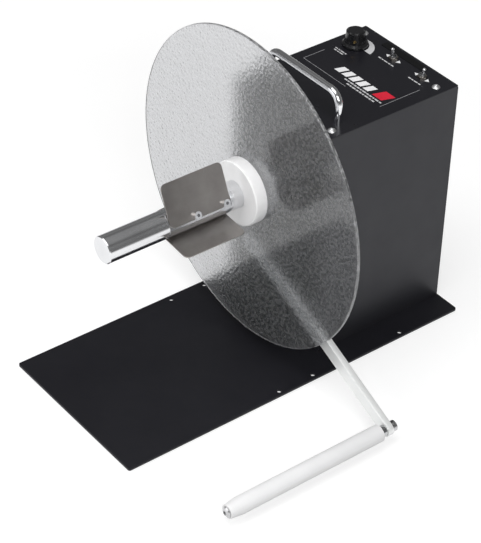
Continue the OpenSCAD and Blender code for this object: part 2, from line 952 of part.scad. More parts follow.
// Clear textured flange.
module flange_disc() {
    color([0.8, 0.82, 0.84, 0.5])
        difference() {
            ybar(sx, spindle_z, disc_y, disc_back, disc_d / 2);
            ybar(sx, spindle_z, disc_y - 1, disc_back + 1, shaft_r + slip);
            for (i = [0 : 3])
                hub_bolt(i, disc_y - 1, disc_back + 1, 2 + loose);
        }
}

module hub_bolt(i, y0, y1, r) {
    ybar(sx + 20 * cos(45 + 90 * i), spindle_z + 20 * sin(45 + 90 * i), y0, y1, r);
}

module front_hub() {
    color("#f0f0ee")
        difference() {
            union() {
                ycone(sx, spindle_z, hub_y, hub_y + 1, hub_d / 2 - 1, hub_d / 2);
                ybar(sx, spindle_z, hub_y + 1 - eps, disc_y, hub_d / 2);
            }
            ybar(sx, spindle_z, hub_y - 1, disc_y + 1, shaft_r + slip);
            for (i = [0 : 3])
                hub_bolt(i, disc_y - 7, disc_y + 1, 2 + slip);
        }
}

module rear_hub() {
    color("#f0f0ee")
        difference() {
            ybar(sx, spindle_z, disc_back, rear_hub_y, rear_hub_d / 2);
            ybar(sx, spindle_z, disc_back - 1, rear_hub_y + 1, shaft_r + slip);
            for (i = [0 : 3]) {
                hub_bolt(i, disc_back - 1, rear_hub_y + 1, 2 + loose);
                hub_bolt(i, rear_hub_y - 4.2, rear_hub_y + 1, 3.7);
            }
            translate([sx, disc_back + 5, spindle_z])
                cylinder(r = 2.5 + slip, h = rear_hub_d);
        }
}

module hub_screws() {
    color("#b9bbbe") {
        for (i = [0 : 3])
            facing_rear(sx + 20 * cos(45 + 90 * i), rear_hub_y - 4.2, spindle_z + 20 * sin(45 + 90 * i))
                cap_screw(7, 4, 2, rear_hub_y - 4.2 - disc_y + 6.5);
        translate([sx, disc_back + 5, spindle_z])
            difference() {
                zbar(0, 0, shaft_r, shaft_r + 12, 2.5);
                translate([0, 0, shaft_r + 9])
                    cylinder(r = 1.3, h = 4, $fn = 6);
            }
    }
}

// One flat spring leaf that grips the inside of a roll core.
module core_leaf(i) {
    color("#6f6b66")
        at_leaf(i)
            translate([0, 0, flat_n])
                difference() {
                    translate([(leaf_low - leaf_reach) / 2, leaf_rear - leaf_w / 2, 0])
                        linear_extrude(height = leaf_t)
                            rrect(leaf_reach + leaf_low, leaf_w, min(leaf_r, leaf_w / 3));
                    for (y = leaf_screw_rows)
                        translate([0, y, -1])
                            cylinder(r = m4_r + loose, h = leaf_t + 2);
                }
}

module core_leaf_1() {
    core_leaf(0);
}

module core_leaf_2() {
    core_leaf(1);
}

module core_leaf_3() {
    core_leaf(2);
}

module leaf_screws() {
    color("#c3c6c9")
        for (i = [0 : 2])
            at_leaf(i)
                for (y = leaf_screw_rows)
                    translate([0, y, flat_n + leaf_t])
                        cap_screw(7, 4, m4_r, leaf_t + 5.5);
}

// Sleeve between the spindle shoulder and the front bearing.
module spindle_spacer() {
    color("#8d8f92")
        yring(sx, spindle_z, shoulder_y, bearing_front, 11.5, journal_d / 2);
}

module bearing_inner_races() {
    color("#c3c6c9")
        for (y = [bearing_front, bearing_rear])
            yring(sx, spindle_z, y, y + race_w, ball_pitch - race_gap, race_in_r);
}

module retaining_ring() {
    color("#3a3a3d")
        difference() {
            yring(sx, spindle_z, ring_y, ring_y + 1.2, journal_d / 2 + 3, journal_d / 2 - 0.55);
            translate([sx - 2, ring_y - 1, spindle_z])
                cube([4, 4, journal_d]);
        }
}

module spindle_gear() {
    color("#e6e2d6")
        difference() {
            yplate(gear_y, gear_y + gear_w)
                translate([sx, spindle_z])
                    difference() {
                        gear_2d(gear_module, gear_teeth);
                        for (i = [0 : 5])
                            rotate(i * 60)
                                translate([22, 0])
                                    circle(r = 6);
                    }
            ybar(sx, spindle_z, gear_y - 1, gear_y + gear_w + 1, journal_d / 2);
        }
}

// Flat bar between the pivot and the roller.
module dancer_arm() {
    color("#c8cacc")
        difference() {
            at_arm()
                yplate(arm_y, arm_back) {
                    translate([0, -arm_w / 2])
                        square([arm_len, arm_w]);
                    translate([arm_len, 0])
                        circle(r = arm_w / 2);
                    circle(r = 10);
                }
            ybar(pivot_x, pivot_z, arm_y - 1, arm_back + 1, 2.5 + slip);
            ybar(roller_x, roller_z, arm_y - 1, arm_back + 1, 2.5 + slip);
        }
}

module pivot_shaft() {
    color("#c3c6c9")
        difference() {
            union() {
                ybar(pivot_x, pivot_z, arm_back, collar_y + collar_w, pivot_r);
                ybar(pivot_x, pivot_z, collar_y + collar_w - eps, tail_end, tail_r);
            }
            ybar(pivot_x, pivot_z, arm_back - 1, arm_back + 13, 2.5 + slip);
        }
}

module arm_screw() {
    color("#b9bbbe")
        facing_front(pivot_x, arm_y, pivot_z)
            button_screw(9.5, 2.75, 2.5, arm_t + 12);
}

module pivot_spacer() {
    color("#8d8f92")
        yring(pivot_x, pivot_z, arm_back, inner_f - 0.2, 8, pivot_r);
}

module pivot_collar() {
    color("#8d8f92")
        difference() {
            yring(pivot_x, pivot_z, collar_y, collar_y + collar_w, 11, pivot_r);
            translate([pivot_x, collar_y + collar_w / 2, pivot_z])
                cylinder(r = 1.6, h = 20);
        }
}

// Stepped axle that the roller turns on.
module roller_axle() {
    color("#b9bbbe")
        difference() {
            union() {
                ybar(roller_x, roller_z, roller_front - 0.6, arm_y, axle_r);
                ybar(roller_x, roller_z, collar_back, arm_y, axle_r + 1.2);
            }
            ybar(roller_x, roller_z, arm_y - 12, arm_y + 1, 2.5 + slip);
            ybar(roller_x, roller_z, roller_front - 2, roller_front + 8, 1.5 + slip);
        }
}

module axle_screws() {
    color("#d8dadc") {
        facing_rear(roller_x, arm_back, roller_z)
            cap_screw(10, 5, 2.5, arm_t + 10);
        facing_front(roller_x, roller_front - 0.6, roller_z)
            button_screw(10.4, 2.2, 1.5, 7);
    }
}

// White sleeve with a tapered nose.
module roller_sleeve() {
    nose = 12;
    color("#f0f0ee")
        difference() {
            union() {
                ybar(roller_x, roller_z, roller_front + nose - eps, roller_back, roller_d / 2);
                ycone(roller_x, roller_z, roller_front, roller_front + nose, roller_d / 2 - 1.6, roller_d / 2);
            }
            ybar(roller_x, roller_z, roller_front - 1, roller_back + 1, axle_r + 1);
        }
}

module roller_bushes() {
    color("#cfc8b8")
        for (y = [roller_front, roller_back - 10])
            yring(roller_x, roller_z, y, y + 10, axle_r + 1, axle_r + slip);
}

base_plate();
base_screws();
housing_wrap();
rear_panel();
rear_panel_screws();
top_panel();
top_panel_screws();
blank_plate();
carry_handle();
handle_screws();
bearing_block();
wall_screws();
bearing_outer_races();
bearing_balls();
pivot_block();
pivot_bush();
return_spring();
arm_stops();
motor_plate();
motor_screws();
gear_motor();
control_board();
board_components();
board_standoffs();
power_inlet();
potentiometer();
direction_switch();
torque_switch();
toggle_nuts();
sensor_bracket();
arm_sensor();
mandrel();
flange_disc();
front_hub();
rear_hub();
hub_screws();
core_leaf_1();
core_leaf_2();
core_leaf_3();
leaf_screws();
spindle_spacer();
bearing_inner_races();
retaining_ring();
spindle_gear();
motor_shaft();
motor_pinion();
dancer_arm();
pivot_shaft();
arm_screw();
pivot_spacer();
pivot_collar();
roller_axle();
axle_screws();
roller_sleeve();
roller_bushes();
torque_knob();
knob_set_screw();
potentiometer_shaft();
direction_lever();
torque_lever();
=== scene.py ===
"""Looks of a bench label unwinder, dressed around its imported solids."""

import json
import logging
import math
from dataclasses import dataclass
from enum import Enum
from typing import Iterable

import bmesh
import bpy
from mathutils import Matrix, Vector


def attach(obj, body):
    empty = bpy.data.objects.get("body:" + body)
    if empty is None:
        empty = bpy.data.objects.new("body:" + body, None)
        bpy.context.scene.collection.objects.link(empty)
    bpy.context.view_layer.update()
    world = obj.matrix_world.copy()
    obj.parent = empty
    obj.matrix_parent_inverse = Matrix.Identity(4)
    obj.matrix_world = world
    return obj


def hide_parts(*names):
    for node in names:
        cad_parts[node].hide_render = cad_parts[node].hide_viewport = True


LOG = logging.getLogger("unwinder")
MM = 0.001
Point = tuple[float, float, float]
Colour = tuple[float, float, float]
Pair = tuple[float, float]
Outline = list[Pair]
Socket = bpy.types.NodeSocket

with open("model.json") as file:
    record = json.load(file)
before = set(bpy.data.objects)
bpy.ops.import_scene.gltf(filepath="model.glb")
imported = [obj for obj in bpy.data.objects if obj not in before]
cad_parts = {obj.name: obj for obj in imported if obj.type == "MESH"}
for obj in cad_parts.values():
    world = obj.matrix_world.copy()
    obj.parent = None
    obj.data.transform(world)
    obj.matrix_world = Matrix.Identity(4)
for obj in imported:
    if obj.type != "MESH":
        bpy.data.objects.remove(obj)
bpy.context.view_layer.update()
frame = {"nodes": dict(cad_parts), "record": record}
RECORD = frame["record"]
BODY_OF = {node: body for body, nodes in RECORD["behaviour"]["bodies"].items() for node in nodes}

# Each joint's pivot in millimetres.
PIVOT_OF = {
    joint["name"]: tuple(round(c / MM, 3) for c in joint["pos_m"])
    for joint in RECORD["behaviour"]["joints"]
}

# Octaves of finer noise in a pattern.
CLOUD_OCTAVES = 4
STREAK_OCTAVES = 3
PEEL_OCTAVES = 2

# Angles between faces that tell planes, rounded faces and sharp edges apart.
PLANE_ANGLE = math.radians(0.4)
CURVE_ANGLE = math.radians(0.5)
SMOOTH_ANGLE = math.radians(32)
SHARP_ANGLE = math.radians(40)

# Points nearer than this, in metres, are one point.
WELD = 2e-6

# Lower and upper side of printed ink above its surface, in millimetres.
INK_LOW, INK_HIGH = 0.01, 0.05


def points_of(node: str) -> list[Vector]:
    """Returns a CAD node's mesh points in millimetres."""
    return [vertex.co / MM for vertex in frame["nodes"][node].data.vertices]


def box_of(node: str) -> tuple[Vector, Vector]:
    """Measures a CAD node to the nearest micrometre.

    Args:
        node: name of the node.

    Returns:
        The low and high corner of its box in millimetres.
    """
    points = points_of(node)
    low, high = (
        Vector([round(pick(p[i] for p in points), 3) for i in range(3)]) for pick in (min, max)
    )
    return low, high


class Grain(Enum):
    """Direction of the machining marks on a metal, as a stretch of the noise along X, Y and Z."""

    ALONG_X = (0.04, 1.0, 1.0)
    ALONG_Y = (1.0, 0.04, 1.0)
    EVEN = (1.0, 1.0, 1.0)


class Nodes:
    """Adds and joins the nodes of one shader."""

    def __init__(self, tree: bpy.types.NodeTree) -> None:
        """Takes the shader's tree.

        Args:
            tree: the tree.
        """
        self.tree = tree

    def add(self, kind: str, **values: object) -> bpy.types.Node:
        """Adds a node and sets its input values.

        Args:
            kind: Blender's name of the node type.
            values: socket values, with spaces of the socket's name as underscores.

        Returns:
            The new node.
        """
        node = self.tree.nodes.new(kind)
        for key, value in values.items():
            node.inputs[key.replace("_", " ")].default_value = value
        return node

    def link(self, source: Socket, target: Socket) -> None:
        """Joins two sockets."""
        self.tree.links.new(source, target)

    def math(self, operation: str, first: Socket, second: Socket) -> Socket:
        """Works out one value from two.

        Args:
            operation: Blender's name of the operation.
            first: the first value.
            second: the second value.

        Returns:
            The result.
        """
        node = self.add("ShaderNodeMath")
        node.operation = operation
        self.link(first, node.inputs[0])
        self.link(second, node.inputs[1])
        return node.outputs[0]

    def spread(self, value: Socket, low: float, high: float, ends: Pair = (0.25, 0.75)) -> Socket:
        """Maps a pattern onto a range of numbers.

        Args:
            value: the pattern.
            low: result at the pattern's first end.
            high: result at its second end.
            ends: the pattern's values between which it is mapped.

        Returns:
            The mapped value.
        """
        first, last = ends
        node = self.add(
            "ShaderNodeMapRange", From_Min=first, From_Max=last, To_Min=low, To_Max=high
        )
        self.link(value, node.inputs["Value"])
        return node.outputs["Result"]


class Wiring(Nodes):
    """Wires the shader nodes of one material."""

    def __init__(self, name: str) -> None:
        """Starts a plain material.

        Args:
            name: the material's name.
        """
        self.material = bpy.data.materials.new(name)
        self.material.use_nodes = True
        super().__init__(self.material.node_tree)
        self.shader = self.tree.nodes["Principled BSDF"]
        self.place = self.add("ShaderNodeTexCoord").outputs["Object"]

    def noise(self, scale: float, detail: float, grain: Grain = Grain.EVEN) -> Socket:
        """Gives a noise pattern from 0 to 1.

        Args:
            scale: cells per metre.
            detail: octaves of finer noise.
            grain: direction in which the noise is drawn out.

        Returns:
            The noise value.
        """
        mapping = self.add("ShaderNodeMapping", Scale=grain.value)
        self.link(self.place, mapping.inputs["Vector"])
        node = self.add("ShaderNodeTexNoise", Scale=scale, Detail=detail)
        self.link(mapping.outputs["Vector"], node.inputs["Vector"])
        return node.outputs["Fac"]

    def swayed(self, scale: float, sway: float) -> Socket:
        """Gives object coordinates that wander, so that cells lose their straight sides.

        Args:
            scale: cells per metre of the wandering.
            sway: its width in metres.

        Returns:
            The coordinates.
        """
        drift = self.add("ShaderNodeTexNoise", Scale=scale, Detail=PEEL_OCTAVES)
        self.link(self.place, drift.inputs["Vector"])
        wobble = self.add("ShaderNodeVectorMath")
        wobble.operation = "MULTIPLY_ADD"
        wobble.inputs[1].default_value = (sway, sway, sway)
        self.link(drift.outputs["Color"], wobble.inputs[0])
        self.link(self.place, wobble.inputs[2])
        return wobble.outputs["Vector"]

    def cells(self, scale: float, place: Socket, rounding: float = 0.0) -> Socket:
        """Gives the distance from the nearest cell's centre.

        Args:
            scale: cells per metre.
            place: coordinates of the pattern.
            rounding: how far the cells' borders are rounded off.

        Returns:
            The distance, as a share of a cell.
        """
        node = self.add("ShaderNodeTexVoronoi", Scale=scale)
        if rounding > 0:
            node.feature = "SMOOTH_F1"
            node.inputs["Smoothness"].default_value = rounding
        self.link(place, node.inputs["Vector"])
        return node.outputs["Distance"]

    def between(self, value: Socket, low: Colour, high: Colour, ends: Pair = (0.3, 0.7)) -> Socket:
        """Blends two colours by a pattern.

        Args:
            value: the pattern.
            low: colour where the pattern is low.
            high: colour where it is high.
            ends: the pattern's values between which the colours blend.

        Returns:
            The blended colour.
        """
        ramp = self.add("ShaderNodeValToRGB")
        for stop, position, colour in zip(ramp.color_ramp.elements, ends, (low, high)):
            stop.position = position
            stop.color = (*colour, 1)
        self.link(value, ramp.inputs["Fac"])
        return ramp.outputs["Color"]

    def raised(self, height: Socket, strength: float, depth: float) -> None:
        """Turns a pattern into relief on the surface.

        Args:
            height: the pattern.
            strength: how strongly it shows.
            depth: height of the relief in metres.
        """
        bump = self.add("ShaderNodeBump", Strength=strength, Distance=depth)
        self.link(height, bump.inputs["Height"])
        self.feed("Normal", bump.outputs["Normal"])

    def set(self, **values: object) -> None:
        """Sets the shader's own values."""
        for key, value in values.items():
            self.shader.inputs[key.replace("_", " ")].default_value = value

    def feed(self, socket: str, source: Socket) -> None:
        """Feeds one of the shader's sockets from a pattern."""
        self.link(source, self.shader.inputs[socket])


@dataclass(frozen=True)
class PowderCoat:
    """Satin powder coat with a fine orange-peel surface."""

    name: str
    dark: Colour
    light: Colour
    rough: Pair
    specular: float
    peel: float = 0.12
    peel_cells: float = 1100
    peel_depth: float = 0.00012
    cloud_cells: float = 14
    wear_cells: float = 60
    sheen: Colour = (0.93, 0.945, 1.0)

    def material(self) -> bpy.types.Material:
        """Returns the coat as a material."""
        w = Wiring(self.name)
        cloud = w.noise(self.cloud_cells, CLOUD_OCTAVES)
        w.feed("Base Color", w.between(cloud, self.dark, self.light))
        w.feed("Roughness", w.spread(w.noise(self.wear_cells, STREAK_OCTAVES), *self.rough))
        w.set(Specular_IOR_Level=self.specular, Specular_Tint=(*self.sheen, 1.0))
        w.raised(w.noise(self.peel_cells, PEEL_OCTAVES), self.peel, self.peel_depth)
        return w.material


@dataclass(frozen=True)
class Metal:
    """Bare metal with machining marks in one direction."""

    name: str
    low: Colour
    high: Colour
    rough: Pair
    grain: Grain = Grain.EVEN
    marks: float = 900
    relief: float = 0.04
    bare: float = 1.0
    mark_depth: float = 0.00005
    cloud_cells: float = 38

    def material(self) -> bpy.types.Material:
        """Returns the metal as a material."""
        w = Wiring(self.name)
        lines = w.noise(self.marks, STREAK_OCTAVES, self.grain)
        cloud = w.noise(self.cloud_cells, CLOUD_OCTAVES)
        w.feed("Base Color", w.between(cloud, self.low, self.high))
        w.feed("Roughness", w.spread(lines, *self.rough))
        w.set(Metallic=self.bare)
        w.raised(lines, self.relief, self.mark_depth)
        return w.material


@dataclass(frozen=True)
class Plastic:
    """Moulded or turned plastic with a faint surface."""

    name: str
    low: Colour
    high: Colour
    rough: Pair
    specular: float = 0.4
    relief: float = 0.05
    relief_cells: float = 500
    relief_depth: float = 0.0001
    subsurface: float = 0.0
    scatter: float = 0.004
    cloud_cells: float = 30
    wear_cells: float = 120

    def material(self) -> bpy.types.Material:
        """Returns the plastic as a material."""
        w = Wiring(self.name)
        cloud = w.noise(self.cloud_cells, CLOUD_OCTAVES)
        w.feed("Base Color", w.between(cloud, self.low, self.high))
        w.feed("Roughness", w.spread(w.noise(self.wear_cells, STREAK_OCTAVES), *self.rough))
        w.set(Specular_IOR_Level=self.specular)
        if self.subsurface:
            w.set(Subsurface_Weight=self.subsurface, Subsurface_Radius=(self.scatter,) * 3)
        w.raised(w.noise(self.relief_cells, STREAK_OCTAVES), self.relief, self.relief_depth)
        return w.material


@dataclass(frozen=True)
class ClearSheet:
    """Clear sheet, glossy or pebbled on the face that it covers, with haze between its cells."""

    name: str
    rough: float
    cells: float
    relief: float
    depth: float
    haze: float = 0.0
    # Distances from a cell's centre between which the haze comes in, and its share of the face.
    haze_ends: Pair = (0.44, 0.58)
    haze_share: float = 1 / 3
    tint: Colour = (0.7, 0.705, 0.72)
    paler: float = 1.03
    index: float = 1.5
    rounding: float = 0.5
    sway: float = 0.0003
    sway_cells: float = 260

    def material(self) -> bpy.types.Material:
        """Returns the sheet's face as a material."""
        w = Wiring(self.name)
        place = w.swayed(self.sway_cells, self.sway)
        pebbles = w.cells(self.cells, place, self.rounding)
        pale = tuple(c * self.paler for c in self.tint)
        w.feed("Base Color", w.between(pebbles, pale, self.tint))
        clear = 1.0 - self.haze * self.haze_share
        w.set(Transmission_Weight=clear, Roughness=self.rough, IOR=self.index)
        if self.haze > 0:
            grain = w.cells(self.cells, place)
            w.feed("Transmission Weight", w.spread(grain, 1.0, 1.0 - self.haze, self.haze_ends))
        w.raised(pebbles, self.relief, self.depth)
        return w.material


Finish = PowderCoat | Metal | Plastic | ClearSheet
Finishes = tuple[tuple[Finish, tuple[str, ...]], ...]

COAT_BASE = PowderCoat(
    "base_coat", (0.0092, 0.009, 0.0118), (0.012, 0.0118, 0.0148), (0.46, 0.56), specular=0.22
)
COAT_WALL = PowderCoat(
    "wall_coat", (0.0125, 0.0125, 0.0155), (0.0165, 0.0165, 0.0195), (0.4, 0.48), specular=0.4
)
COAT_LID = PowderCoat(
    "lid_coat",
    (0.01, 0.0098, 0.0128),
    (0.013, 0.0128, 0.0158),
    (0.26, 0.34),
    specular=0.28,
    peel=0.06,
)
CHROME = Metal(
    "polished_chrome",
    (0.78, 0.785, 0.8),
    (0.84, 0.845, 0.86),
    (0.04, 0.08),
    marks=700,
    relief=0.01,
)
SPINDLE_CHROME = Metal(
    "spindle_chrome",
    (0.74, 0.745, 0.76),
    (0.82, 0.825, 0.84),
    (0.13, 0.2),
    Grain.ALONG_Y,
    relief=0.02,
)
ARM_ALUMINIUM = Metal(
    "arm_aluminium",
    (0.84, 0.85, 0.845),
    (0.89, 0.9, 0.895),
    (0.32, 0.44),
    Grain.ALONG_X,
    marks=800,
    relief=0.08,
    bare=0.4,
)
LEAF_STEEL = Metal(
    "leaf_steel",
    (0.275, 0.257, 0.245),
    (0.375, 0.355, 0.338),
    (0.28, 0.42),
    Grain.ALONG_Y,
    marks=500,
    relief=0.06,
)
SCREW_STEEL = Metal("screw_steel", (0.52, 0.52, 0.53), (0.62, 0.62, 0.63), (0.2, 0.34))
NICKEL = Metal("dull_nickel", (0.3, 0.275, 0.25), (0.4, 0.37, 0.34), (0.2, 0.3))
BRIGHT_ZINC = Metal("bright_zinc", (0.7, 0.705, 0.71), (0.78, 0.78, 0.785), (0.38, 0.48))
PART_ALUMINIUM = Metal("turned_aluminium", (0.6, 0.605, 0.615), (0.68, 0.685, 0.69), (0.28, 0.4))
RACE_STEEL = Metal("ground_steel", (0.5, 0.505, 0.515), (0.6, 0.605, 0.61), (0.14, 0.24))
BRASS = Metal("turned_brass", (0.72, 0.5, 0.19), (0.82, 0.6, 0.27), (0.2, 0.32))
PLATED = Metal("plated_sheet", (0.4, 0.405, 0.41), (0.5, 0.5, 0.505), (0.34, 0.46))
WHITE = Plastic(
    "white_plastic",
    (0.82, 0.82, 0.825),
    (0.87, 0.87, 0.87),
    (0.36, 0.46),
    relief=0.03,
    relief_cells=420,
    subsurface=0.08,
)
ROLLER_WHITE = Plastic(
    "roller_white",
    (0.75, 0.75, 0.755),
    (0.79, 0.79, 0.795),
    (0.4, 0.5),
    relief=0.03,
    relief_cells=420,
    subsurface=0.08,
)
KNOB_BLACK = Plastic(
    "knob_plastic", (0.006, 0.006, 0.007), (0.01, 0.01, 0.011), (0.16, 0.26), specular=0.5
)
DULL_BLACK = Plastic(
    "dull_plastic", (0.016, 0.016, 0.017), (0.024, 0.024, 0.026), (0.45, 0.6), specular=0.3
)
RUBBER = Plastic(
    "stop_rubber",
    (0.012, 0.012, 0.012),
    (0.02, 0.02, 0.02),
    (0.6, 0.75),
    specular=0.25,
    relief=0.12,
)
BOARD = Plastic("board_green", (0.01, 0.06, 0.03), (0.02, 0.1, 0.05), (0.3, 0.42), specular=0.45)
LABEL = Plastic(
    "plate_black", (0.002, 0.002, 0.0025), (0.004, 0.004, 0.0045), (0.3, 0.4), specular=0.3
)
DISC_FRONT = ClearSheet(
    "sheet_front", rough=0.1, cells=450, relief=0.05, depth=0.0002, haze=0.096
)
DISC_REAR = ClearSheet("sheet_pebbles", rough=0.3, cells=330, relief=0.66, depth=0.0005)
DISC_RIM = ClearSheet("sheet_edge", rough=0.35, cells=380, relief=0.05, depth=0.0002, haze=0.28)
INK_WHITE = Plastic("ink_white", (0.76, 0.76, 0.77), (0.82, 0.82, 0.83), (0.5, 0.6), specular=0.2)
INK_GREY = Plastic("ink_grey", (0.5, 0.5, 0.51), (0.58, 0.58, 0.59), (0.5, 0.6), specular=0.2)
INK_LINE = Plastic("ink_line", (0.26, 0.26, 0.27), (0.32, 0.32, 0.33), (0.5, 0.6), specular=0.2)
INK_RED = Plastic("ink_red", (0.6, 0.012, 0.035), (0.66, 0.02, 0.045), (0.5, 0.6), specular=0.2)

MADE: dict[str, bpy.types.Material] = {}


def material_of(finish: Finish) -> bpy.types.Material:
    """Gives a finish's material, made once.

    Args:
        finish: the finish.

    Returns:
        Its material.
    """
    if finish.name not in MADE:
        MADE[finish.name] = finish.material()
    return MADE[finish.name]


def paint(obj: bpy.types.Object, finish: Finish) -> None:
    """Gives an object one finish all over.

    Args:
        obj: the object.
        finish: its finish.
    """
    if not obj.material_slots:
        obj.data.materials.append(None)
    for slot in obj.material_slots:
        slot.link = "OBJECT"
        slot.material = material_of(finish)


def dress(finishes: Finishes) -> None:
    """Gives CAD nodes their finishes and leaves their shapes alone.

    Args:
        finishes: each finish with the names of its nodes.
    """
    for finish, nodes in finishes:
        for node in nodes:
            paint(frame["nodes"][node], finish)
            LOG.info("dressed %s with %s", node, finish.name)


def new_piece(
    name: str, mesh: bpy.types.Mesh, body: str, finish: Finish
) -> bpy.types.Object:
    """Adds a piece that rides on a body.

    Args:
        name: name of the piece.
        mesh: its mesh, in the part's frame.
        body: the body it rides on.
        finish: its finish.

    Returns:
        The new object.
    """
    obj = bpy.data.objects.new(name, mesh)
    bpy.context.scene.collection.objects.link(obj)
    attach(obj, body)
    paint(obj, finish)
    LOG.info("built %s on %s", name, body)
    return obj


def stand_in(name: str, mesh: bpy.types.Mesh, node: str, finish: Finish) -> None:
    """Adds a piece that takes a CAD node's place and body.

    Args:
        name: name of the piece.
        mesh: its mesh, in the part's frame.
        node: name of the node.
        finish: its finish.
    """
    piece = new_piece(name, mesh, BODY_OF[node], finish)
    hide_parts(node)


def smooth_by_angle(bm: bmesh.types.BMesh) -> None:
    """Shades faces smooth and keeps sharp edges sharp.

    Args:
        bm: the mesh.
    """
    for face in bm.faces:
        face.smooth = True
    for edge in bm.edges:
        edge.smooth = len(edge.link_faces) == 2 and edge.calc_face_angle(0.0) < SMOOTH_ANGLE


def flatten_planes(bm: bmesh.types.BMesh, strips: set[bmesh.types.BMFace]) -> None:
    """Shades plane faces flat, so that only curved faces and eased edges blend.

    Args:
        bm: the mesh.
        strips: faces of the eased edges.
    """
    for face in bm.faces:
        bends = [
            e.calc_face_angle(0.0)
            for e in face.edges
            if len(e.link_faces) == 2 and not strips.intersection(e.link_faces)
        ]
        curved = any(CURVE_ANGLE < bend < SMOOTH_ANGLE for bend in bends)
        face.smooth = face in strips or curved


def mesh_from(bm: bmesh.types.BMesh, name: str) -> bpy.types.Mesh:
    """Turns an edited mesh into mesh data and frees it.

    Args:
        bm: the edited mesh.
        name: name of the mesh.

    Returns:
        The mesh data.
    """
    mesh = bpy.data.meshes.new(name)
    bm.to_mesh(mesh)
    bm.free()
    return mesh


def rounded_mesh_from(bm: bmesh.types.BMesh, name: str) -> bpy.types.Mesh:
    """Turns an edited mesh into mesh data with outward normals and smooth round faces.

    Args:
        bm: the edited mesh.
        name: name of the mesh.

    Returns:
        The mesh data.
    """
    bmesh.ops.recalc_face_normals(bm, faces=bm.faces)
    smooth_by_angle(bm)
    return mesh_from(bm, name)


def eased(node: str, width: float, finish: Finish, steps: int = 2) -> None:
    """Stands a copy with eased edges in for a CAD node.

    Args:
        node: name of the node.
        width: width of the eased edge in millimetres.
        finish: finish of the copy.
        steps: faces across the eased edge.
    """
    bm = bmesh.new()
    bm.from_mesh(frame["nodes"][node].data)
    bmesh.ops.remove_doubles(bm, verts=bm.verts, dist=WELD)
    bmesh.ops.dissolve_limit(bm, angle_limit=PLANE_ANGLE, verts=bm.verts, edges=bm.edges)
    sharp = [
        e for e in bm.edges if len(e.link_faces) == 2 and e.calc_face_angle(0.0) > SHARP_ANGLE
    ]
    made = bmesh.ops.bevel(
        bm,
        geom=sharp,
        offset=width * MM,
        segments=steps,
        profile=0.5,
        affect="EDGES",
        clamp_overlap=True,
    )
    smooth_by_angle(bm)
    flatten_planes(bm, set(made["faces"]))
    name = node + "_finished"
    stand_in(name, mesh_from(bm, name), node, finish)


def circle(steps: int) -> list[float]:
    """Returns equal steps of a full turn, in radians."""
    return [2 * math.pi * k / steps for k in range(steps)]


def turned(section: Outline, axis: Point, name: str, steps: int) -> bpy.types.Mesh:
    """Turns a closed section about an axis along Y.

    Args:
        section: points of radius and Y in millimetres, round the section.
        axis: a point on the axis in millimetres.
        name: name of the mesh.
        steps: faces round the axis.

    Returns:
        The turned mesh.
    """
    bm = bmesh.new()
    x, _, z = axis
    rings = [
        [
            bm.verts.new(Vector((x + r * math.cos(a), y, z + r * math.sin(a))) * MM)
            for r, y in section
        ]
        for a in circle(steps)
    ]
    for i, here in enumerate(rings):
        there = rings[(i + 1) % steps]
        for k in range(len(section)):
            n = (k + 1) % len(section)
            bm.faces.new((here[k], there[k], there[n], here[n]))
    return rounded_mesh_from(bm, name)


def bent_bar(path: Outline, y: float, radius: float, name: str, sides: int = 48) -> bpy.types.Mesh:
    """Sweeps a round bar along a path in an upright plane.

    Args:
        path: points of X and Z in millimetres along the bar's axis.
        y: the plane's place in millimetres.
        radius: the bar's radius in millimetres.
        name: name of the mesh.
        sides: faces round the bar.

    Returns:
        The bar's mesh.
    """
    bm = bmesh.new()
    rings = []
    for i, (x, z) in enumerate(path):
        (xa, za), (xb, zb) = path[max(i - 1, 0)], path[min(i + 1, len(path) - 1)]
        centre = Vector((x, y, z))
        across = Vector((0.0, radius, 0.0))
        outward = Vector((zb - za, 0.0, xa - xb)).normalized() * radius
        rings.append([
            bm.verts.new((centre + across * math.cos(a) + outward * math.sin(a)) * MM)
            for a in circle(sides)
        ])
    for here, there in zip(rings, rings[1:]):
        for k in range(sides):
            n = (k + 1) % sides
            bm.faces.new((here[k], here[n], there[n], there[k]))
    bm.faces.new(rings[0])
    bm.faces.new(rings[-1])
    return rounded_mesh_from(bm, name)


def printed(outlines: Iterable[Outline], z: float, name: str) -> bpy.types.Mesh:
    """Makes thin flat ink shapes on a level surface.

    Args:
        outlines: outlines of X and Y points in millimetres.
        z: height of the surface in millimetres.
        name: name of the mesh.

    Returns:
        The mesh of all shapes.
    """
    bm = bmesh.new()
    for outline in outlines:
        low, high = (
            [bm.verts.new(Vector((x, y, z + rise)) * MM) for x, y in outline]
            for rise in (INK_LOW, INK_HIGH)
        )
        bm.faces.new(high)
        bm.faces.new(low[::-1])
        for k in range(len(outline)):
            n = (k + 1) % len(outline)
            bm.faces.new((low[k], low[n], high[n], high[k]))
    bmesh.ops.recalc_face_normals(bm, faces=bm.faces)
    return mesh_from(bm, name)


def bar(x: float, y: float, width: float, depth: float, slant: float = 0.0) -> Outline:
    """Gives the outline of a bar that may lean.

    Args:
        x: left end.
        y: front edge.
        width: size along X.
        depth: size along Y.
        slant: sideways shift of the rear edge.

    Returns:
        Its four corners, in millimetres.
    """
    rear = y + depth
    return [(x, y), (x + width, y), (x + width + slant, rear), (x + slant, rear)]


